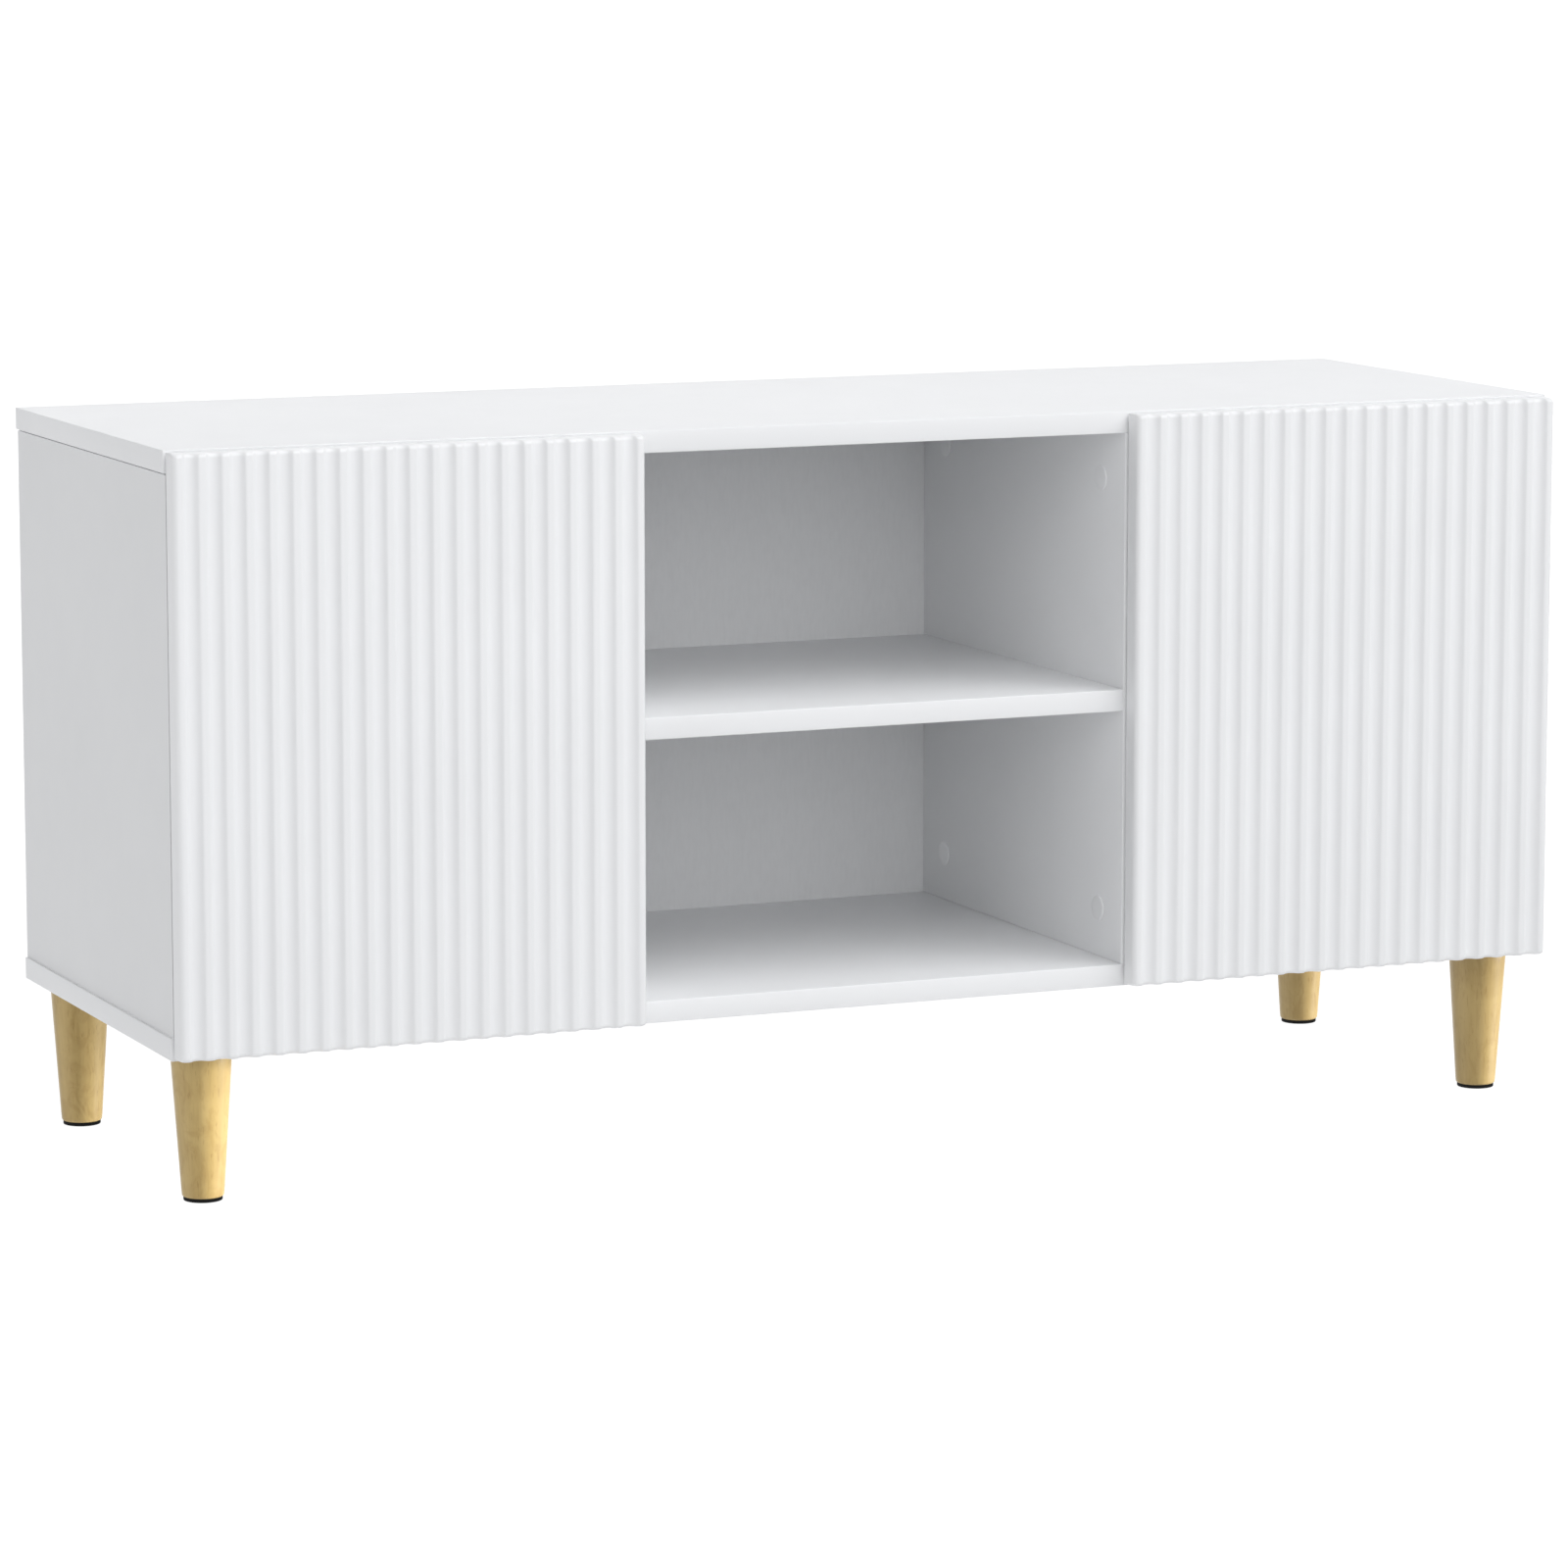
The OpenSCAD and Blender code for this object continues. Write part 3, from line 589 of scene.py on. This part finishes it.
def make_leg(place):
    low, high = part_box("leg_" + place)
    centre = middle((low, high))
    top_r = (high.x - low.x) / 2
    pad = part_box("foot_pad_" + place)
    pad_r = (pad[1].x - pad[0].x) / 2
    foot_r = pad_r + FOOT_MARGIN
    height = high.z - low.z
    slope = (top_r - foot_r) / height
    profile = [(0, 0), (foot_r - FOOT_ROUND, 0)]
    profile += arc(foot_r - FOOT_ROUND, FOOT_ROUND, FOOT_ROUND, -75, 0, 6)
    profile += [(foot_r + slope * height * k / LEG_RINGS, height * k / LEG_RINGS)
                for k in range(1, LEG_RINGS)]
    profile += [(top_r - 0.5 * MM, height - 0.1 * MM), (top_r - 0.9 * MM, height), (0, height)]
    bm = bmesh.new()
    lathe_into(bm, profile, Vector((centre.x, centre.y, low.z)), (0, 0, 1), steps=96)
    add_piece("turned_leg_" + place, bm, "beech", ROOT, ("leg_" + place,))

    pad_t = low.z - pad[0].z
    profile = [(0, 0), (pad_r - PAD_ROUND, 0)]
    profile += arc(pad_r - PAD_ROUND, PAD_ROUND, PAD_ROUND, -60, 0, 4)
    profile += [(pad_r, pad_t - PAD_RIM), (pad_r - PAD_RIM, pad_t), (0, pad_t)]
    bm = bmesh.new()
    lathe_into(bm, profile, Vector((centre.x, centre.y, pad[0].z)), (0, 0, 1), steps=64)
    add_piece("glide_" + place, bm, "pad", ROOT, ("foot_pad_" + place,))


# ---------------------------------------------------------------- fittings

CAP_RIM = 0.35 * MM
THREAD_MM = 1.1  # the pitch of the screws' threads
THREAD_ROOT = 0.72  # the thread's root as a share of the shank's radius
# The screws of a plate, a latch and a cup: head radius, head height, shank radius, in mm.
PLATE_SCREW = (3.5, 1.6, 1.95)
LATCH_SCREW = (2.75, 1.2, 1.45)
CUP_SCREW = (2.75, 0.6, 1.45)
CUP_WALL = 1 * MM
CUP_BEND = 2 * MM
CUP_LIP = 0.35 * MM
FLANGE_HALF = 6.5 * MM
FLANGE_THICK = 0.8 * MM
FLANGE_ROUND = 5 * MM
COLLAR_R = 3.6 * MM
NAIL_R = 0.8 * MM
NAIL_DOME = 0.25 * MM
ROD_ROUND = 0.6 * MM
STRIKE_SCREW_R = 1.1 * MM
STRIKE_RIM = 0.3 * MM


def make_caps():
    """Thin domed caps over the cams, facing the middle of the cabinet or the floor."""
    bm = bmesh.new()
    for box in islands("cam_caps"):
        size = box[1] - box[0]
        centre = middle(box)
        if size.z < size.x:
            axis, radius, thick = Vector((0, 0, -1)), size.x / 2, size.z
        else:
            axis = Vector((-math.copysign(1, centre.x), 0, 0))
            radius, thick = size.z / 2, size.x
        profile = [(0, 0), (radius, 0), (radius, thick - CAP_RIM)]
        profile += arc(radius - CAP_RIM, thick - CAP_RIM, CAP_RIM, 20, 75, 3)
        profile += [(radius * 0.6, thick - 0.02 * MM), (0, thick)]
        lathe_into(bm, profile, centre - axis * thick / 2, axis)
    add_piece("cap_discs", bm, "cap", ROOT, ("cam_caps",))


def screw_into(bm, place, axis, head_r, head_h, shank_r, shank_l):
    """A screw whose head stands on place: a threaded shank and a domed head with a straight rim."""
    root_r = shank_r * THREAD_ROOT
    neck_r = shank_r * 0.85
    profile = [(0, -shank_l), (shank_r * 0.35, -shank_l), (root_r, -shank_l + 1.6 * shank_r)]
    turns = int((shank_l - 3 * shank_r) / (THREAD_MM * MM))
    for k in range(turns):
        foot = -shank_l + 1.8 * shank_r + k * THREAD_MM * MM
        profile += [(root_r, foot), (shank_r, foot + 0.45 * MM), (root_r, foot + 0.9 * MM)]
    profile += [(neck_r, -shank_r * 0.6), (neck_r, 0), (head_r * 0.94, 0)]
    profile += [(head_r, head_h * 0.14), (head_r, head_h * 0.38)]
    profile += [(head_r * math.cos(a), head_h * (0.38 + 0.62 * math.sin(a)))
                for a in (math.radians(12 * k) for k in range(1, 7))]
    profile.append((0, head_h))
    lathe_into(bm, profile, place, axis, steps=32)


def cross_into(bm, top, axis, reach, depth):
    """A tapered plus-shaped plug for cutting a cross recess."""
    axis = Vector(axis)
    side = Vector((0, 0, 1)) if abs(axis.z) < 0.5 else Vector((1, 0, 0))
    other = axis.cross(side)
    half = reach * 0.17
    rings = []
    for height, arm in ((0.4 * MM, reach * 1.12), (-depth, reach * 0.55)):
        ring = []
        for c, s in ((1, 0), (0, 1), (-1, 0), (0, -1)):
            for x, y in ((arm, -half), (arm, half), (half, half)):
                ring.append(bm.verts.new(top + axis * height + side * (c * x - s * y) +
                                         other * (s * x + c * y)))
        rings.append(ring)
    low, high = rings
    count = len(low)
    for k in range(count):
        bm.faces.new((low[k], low[(k + 1) % count], high[(k + 1) % count], high[k]))
    bm.faces.new(low)
    bm.faces.new(high)


def make_screws():
    sets = [("plate_screws", ROOT, PLATE_SCREW), ("latch_screws", ROOT, LATCH_SCREW)]
    sets += [("cup_screws_" + side, side + "_door", CUP_SCREW) for side in SIDES]
    for node, body, (head_r, head_h, shank_r) in sets:
        bm, crosses = bmesh.new(), bmesh.new()
        for box in islands(node):
            size = box[1] - box[0]
            centre = middle(box)
            if body == ROOT:
                inward = -1 if node == "plate_screws" else 1
                way = Vector((inward * math.copysign(1, centre.x), 0, 0))
                length = size.x
            else:
                way = Vector((0, 1, 0))
                length = size.y
            top = centre + way * length / 2
            screw_into(bm, top - way * head_h * MM, way, head_r * MM, head_h * MM, shank_r * MM,
                       length - head_h * MM)
            cross_into(crosses, top, way, head_r * 0.52 * MM, head_h * 0.75 * MM)
        piece = add_piece(node + "_set", bm, "zinc", body, (node,))
        cut(piece, crosses)
        finish_piece(piece, "zinc", body)


def make_cups(side):
    """Pressed steel cups: a rounded bowl with a rim, and a flange across it for two screws."""
    node = "hinge_cups_" + side
    body = side + "_door"
    door_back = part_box("door_" + side)[1].y
    screws = [middle(box) for box in islands("cup_screws_" + side)]
    cups = islands(node)
    bm = bmesh.new()
    for box in cups:
        centre = middle(box)
        outer = (box[1].x - box[0].x) / 2
        inner = outer - CUP_WALL
        inner_bend = CUP_BEND - CUP_WALL
        depth = door_back - box[0].y
        profile = [(0, 0)] + arc(outer - CUP_BEND, CUP_BEND, CUP_BEND, -90, 0, 6)
        profile += [(outer, depth), (outer + MM, depth), (outer + MM, depth + CUP_LIP)]
        profile += [(outer - CUP_WALL + 0.2 * MM, depth + CUP_LIP), (inner, depth)]
        profile += arc(inner - inner_bend, CUP_WALL + inner_bend, inner_bend, 0, -90, 4)
        profile += [(0, CUP_WALL)]
        place = Vector((centre.x, box[0].y, centre.z))
        lathe_into(bm, profile, place, (0, 1, 0), steps=72)
    add_piece(node + "_bowl", bm, "nickel", body, (node,))
    for number, box in enumerate(cups):
        centre = middle(box)
        outer = (box[1].x - box[0].x) / 2
        line = [s for s in screws if abs(s.z - centre.z) < 0.05][0].x
        half = (box[1].z - box[0].z) / 2
        bm = bmesh.new()
        box_into(bm, (line - FLANGE_HALF, door_back, centre.z - half),
                 (line + FLANGE_HALF, door_back + FLANGE_THICK, centre.z + half))
        corners = [e for e in bm.edges if abs(e.verts[0].co.y - e.verts[1].co.y) > 0.5 * MM]
        bmesh.ops.bevel(bm, geom=corners, offset=FLANGE_ROUND, segments=8, profile=0.5,
                        affect="EDGES")
        plate = add_piece(f"{node}_flange_{number}", bm, "nickel", body)
        hole = bmesh.new()
        place = Vector((centre.x, door_back, centre.z))
        lathe_into(hole, plug(outer - MM, -MM, 3 * MM), place, (0, 1, 0), steps=72)
        cut(plate, hole)
        finish_piece(plate, "nickel", body)


def make_pins():
    """Shelf pins: a peg in the board, a collar against it and the stub that carries the shelf."""
    bm = bmesh.new()
    faces = [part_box("side_panel_left")[1].x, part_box("divider_left")[0].x,
             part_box("divider_right")[1].x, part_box("side_panel_right")[0].x]
    for box in islands("shelf_pins"):
        centre = middle(box)
        face = min(faces, key=lambda x: abs(x - centre.x))
        way = math.copysign(1, centre.x - face)
        radius = (box[1].z - box[0].z) / 2
        out = abs((box[1].x if way > 0 else box[0].x) - face)
        inside = (box[1].x - box[0].x) - out
        profile = [(0, -inside), (radius * 0.8, -inside), (radius, -inside + 0.6 * MM), (radius, 0)]
        profile += [(COLLAR_R, 0), (COLLAR_R, 1.0 * MM), (radius, 1.2 * MM)]
        profile += [(radius, out - 0.5 * MM), (radius * 0.8, out), (0, out)]
        lathe_into(bm, profile, Vector((face, centre.y, centre.z)), (way, 0, 0), steps=28)
    add_piece("shelf_pin_set", bm, "zinc", ROOT, ("shelf_pins",))


def make_nails():
    """The back panels' nails: a pointed shank and a thin domed head."""
    bm = bmesh.new()
    for box in islands("back_panel_nails"):
        centre = middle(box)
        radius = (box[1].z - box[0].z) / 2
        length = box[1].y - box[0].y
        profile = [(0, -length), (NAIL_R, -length + 1.5 * MM), (NAIL_R, -0.6 * MM)]
        profile += [(radius, -0.4 * MM), (radius, -0.1 * MM), (radius * 0.9, NAIL_DOME * 0.6)]
        profile += [(radius * 0.5, NAIL_DOME), (0, NAIL_DOME)]
        lathe_into(bm, profile, Vector((centre.x, box[1].y, centre.z)), (0, 1, 0), steps=20)
    add_piece("nail_set", bm, "zinc", ROOT, ("back_panel_nails",))


def make_latch(side):
    """A push latch's plunger, and the strike plate with its screw on the door."""
    low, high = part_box("latch_plunger_" + side)
    centre = middle((low, high))
    radius = (high.x - low.x) / 2
    neck = radius - 0.4 * MM
    length = high.y - low.y
    profile = [(0, 0), (radius - ROD_ROUND, 0)]
    profile += arc(radius - ROD_ROUND, ROD_ROUND, ROD_ROUND, -60, 0, 4)
    profile += [(radius, 5 * MM), (neck, 5.3 * MM), (neck, length), (0, length)]
    bm = bmesh.new()
    lathe_into(bm, profile, Vector((centre.x, low.y, centre.z)), (0, 1, 0), steps=40)
    add_piece("latch_rod_" + side, bm, "latch", side + "_plunger", ("latch_plunger_" + side,))

    low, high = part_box("strike_plate_" + side)
    centre = middle((low, high))
    radius = (high.x - low.x) / 2
    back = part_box("door_" + side)[1].y
    tip = low.y - back
    thick = high.y - back
    profile = [(0, tip), (STRIKE_SCREW_R, tip), (STRIKE_SCREW_R, 0), (radius, 0)]
    profile += [(radius, thick - STRIKE_RIM), (radius - STRIKE_RIM, thick), (2.4 * MM, thick)]
    profile += [(1.2 * MM, thick - 0.55 * MM), (0, thick - 0.5 * MM)]
    bm = bmesh.new()
    lathe_into(bm, profile, Vector((centre.x, back, centre.z)), (0, 1, 0))
    add_piece("strike_disc_" + side, bm, "zinc", side + "_door", ("strike_plate_" + side,))


# CAD nodes that keep their shape: their finish and how far their edges are softened, in mm.
KEPT = {
    "hinge_arms": ("nickel", 0.35), "hinge_plates": ("nickel", 0.4), "hinge_pins": ("nickel", 0.0),
    "adjust_screws": ("zinc", 0.15), "outer_links_left": ("nickel", 0.2),
    "outer_links_right": ("nickel", 0.2), "inner_links_left": ("nickel", 0.25),
    "inner_links_right": ("nickel", 0.25), "latch_bodies": ("latch", 0.6),
    "leg_inserts": ("zinc", 0.0), "leg_bolts": ("zinc", 0.0), "cam_locks": ("zinc", 0.0),
    "cam_bolts": ("zinc", 0.0), "panel_dowels": ("beech", 0.0),
}
SOFTEN_ANGLE = 50


def finish_kept_nodes():
    """CAD nodes whose shape is right keep it, with softened edges and a real finish."""
    for name, (finish, edge) in KEPT.items():
        node = frame["nodes"][name]
        node.data.materials.clear()
        node.data.materials.append(MATERIALS[finish])
        if edge > 0:
            modifier = node.modifiers.new("edge", "BEVEL")
            modifier.width = edge * MM
            modifier.segments = 2
            modifier.limit_method = "ANGLE"
            modifier.angle_limit = math.radians(SOFTEN_ANGLE)
            modifier.use_clamp_overlap = True


# ---------------------------------------------------------------- stage

FLOOR_GLOW = 0.94
FLOOR_GREYS = (0.15, 0.16)
FLOOR_REACH = 45.0
FLOOR_BEND = 8.0
WALL_HEIGHT = 20.0
FLOOR_DROP = 0.3 * MM
SKY_COLOUR = (0.99, 0.995, 1.005, 1)
# The world's soft sources: towards where, how narrow, how strong.
SKY_LOBES = [
    ((0.45, -0.45, 0.75), 8, 3.172), ((-0.35, -0.85, 0.4), 12, 1.784),
    ((0.4, -0.8, 0.5), 12, 0.905), ((0, -1, 0.05), 16, 0.796), ((1, 0, 0.1), 4, 0.424),
    ((-1, 0, 0.1), 4, 0.904), ((-0.85, 0.5, 0.1), 8, 0.560), ((0, 1, 0.1), 4, 0.824),
    ((0.4, 0.9, 0.1), 4, 0.683), ((0.3, 0.8, 0.5), 4, 0.118), ((0, 0, -1), 2, 1.316),
]
LEG_LIGHT = 4.95
LEG_LIGHT_FROM = (0.918, -0.397, 0.09)
LEG_LIGHT_SPREAD = 14.0


def add_floor():
    """A pale floor that curves up into a far backdrop. It shows, but it lights nothing."""
    flat = FLOOR_REACH - FLOOR_BEND
    profile = [(0, 0), (1.5, 0), (6, 0), (20, 0), (flat, 0)]
    profile += arc(flat, FLOOR_BEND, FLOOR_BEND, -80, 0, 8) + [(FLOOR_REACH, WALL_HEIGHT)]
    bm = bmesh.new()
    lathe_into(bm, profile, Vector((0, 0, -FLOOR_DROP)), (0, 0, 1), steps=96)
    mesh = bpy.data.meshes.new("floor")
    bm.to_mesh(mesh)
    bm.free()
    floor = bpy.data.objects.new("floor", mesh)
    bpy.context.scene.collection.objects.link(floor)
    n = Nodes("floor_white")
    dark, light = ((grey,) * 3 for grey in FLOOR_GREYS)
    colour = n.ramp(n.noise(3.0, 3.0), "Fac", ((0.3, dark), (0.7, light)))
    n.link(colour, "Color", n.shader, "Base Color")
    n.set(Roughness=0.9, Specular_IOR_Level=0.1, Emission_Color=(1, 1, 1, 1),
          Emission_Strength=FLOOR_GLOW)
    mesh.materials.append(n.material)
    floor.visible_diffuse = False
    floor.visible_glossy = False
    floor.visible_transmission = False
    floor.visible_shadow = False


def maths(tree, operation, first, second):
    """A maths node of two values, each a socket or a number."""
    node = tree.nodes.new("ShaderNodeMath")
    node.operation = operation
    for socket, value in zip(node.inputs, (first, second)):
        if isinstance(value, (int, float)):
            socket.default_value = value
        else:
            tree.links.new(value, socket)
    return node.outputs[0]


def add_light():
    """Soft studio light: a few broad sources in the world, each with a direction and a spread."""
    world = bpy.data.worlds.new("studio")
    bpy.context.scene.world = world
    world.use_nodes = True
    tree = world.node_tree
    tree.nodes.clear()
    out = tree.nodes.new("ShaderNodeOutputWorld")
    background = tree.nodes.new("ShaderNodeBackground")
    background.inputs["Color"].default_value = SKY_COLOUR
    place = tree.nodes.new("ShaderNodeTexCoord")
    total = 0.0
    for towards, spread, strength in SKY_LOBES:
        dot = tree.nodes.new("ShaderNodeVectorMath")
        dot.operation = "DOT_PRODUCT"
        dot.inputs[1].default_value = Vector(towards).normalized()
        tree.links.new(place.outputs["Generated"], dot.inputs[0])
        facing = maths(tree, "MAXIMUM", dot.outputs["Value"], 0.0)
        lobe = maths(tree, "MULTIPLY", maths(tree, "POWER", facing, spread), strength)
        total = maths(tree, "ADD", total, lobe)
    tree.links.new(total, background.inputs["Strength"])
    tree.links.new(background.outputs["Background"], out.inputs["Surface"])


def add_leg_light():
    """A low soft light from the right that reaches only the legs."""
    data = bpy.data.lights.new("low_side_light", "SUN")
    data.energy = LEG_LIGHT
    data.angle = math.radians(LEG_LIGHT_SPREAD)
    light = bpy.data.objects.new("low_side_light", data)
    bpy.context.scene.collection.objects.link(light)
    light.rotation_euler = (-Vector(LEG_LIGHT_FROM)).to_track_quat("-Z", "Y").to_euler()
    legs = bpy.data.collections.new("lit_from_the_side")
    for piece in bpy.context.scene.objects:
        if piece.name.startswith("turned_leg"):
            legs.objects.link(piece)
    light.light_linking.receiver_collection = legs


add_camera()
make_boards()
for door_side in SIDES:
    make_door(door_side)
    make_cups(door_side)
for leg_place in LEG_PLACES:
    make_leg(leg_place)
make_caps()
make_screws()
make_pins()
make_nails()
for latch_side in SIDES:
    make_latch(latch_side)
finish_kept_nodes()
add_floor()
add_light()
add_leg_light()
bpy.context.scene.view_settings.view_transform = "Standard"
